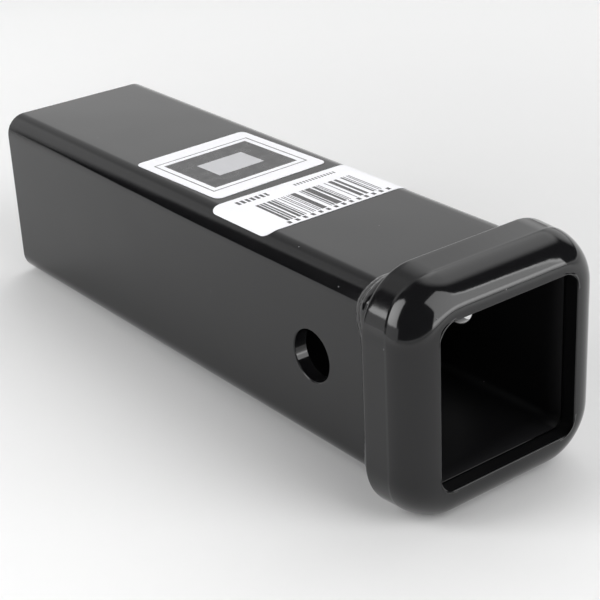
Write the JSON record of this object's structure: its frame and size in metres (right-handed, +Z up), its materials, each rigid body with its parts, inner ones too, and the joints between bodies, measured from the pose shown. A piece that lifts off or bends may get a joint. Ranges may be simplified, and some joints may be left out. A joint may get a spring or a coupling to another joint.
{
  "type": "hitch receiver sleeve",
  "caption": "Square steel receiver tube with a rounded reinforcing collar at its mouth and a cross pin hole, made to be welded to a hitch and take a sliding shank.",
  "frame": {"origin": "where the pin hole's axis crosses the centre line of the tube", "axes": "+X along the tube and out of the mouth, +Y along the pin hole, +Z up"},
  "size_m": [0.237, 0.0782, 0.0782],
  "materials": {
    "black_coat": "gloss",
    "sticker": "satin"
  },
  "bodies": {
    "root": {"receiver_tube": "black_coat", "mouth_collar": "black_coat", "collar_weld": "black_coat", "square_label": "sticker", "bar_label": "sticker"}
  },
  "joints": []
}
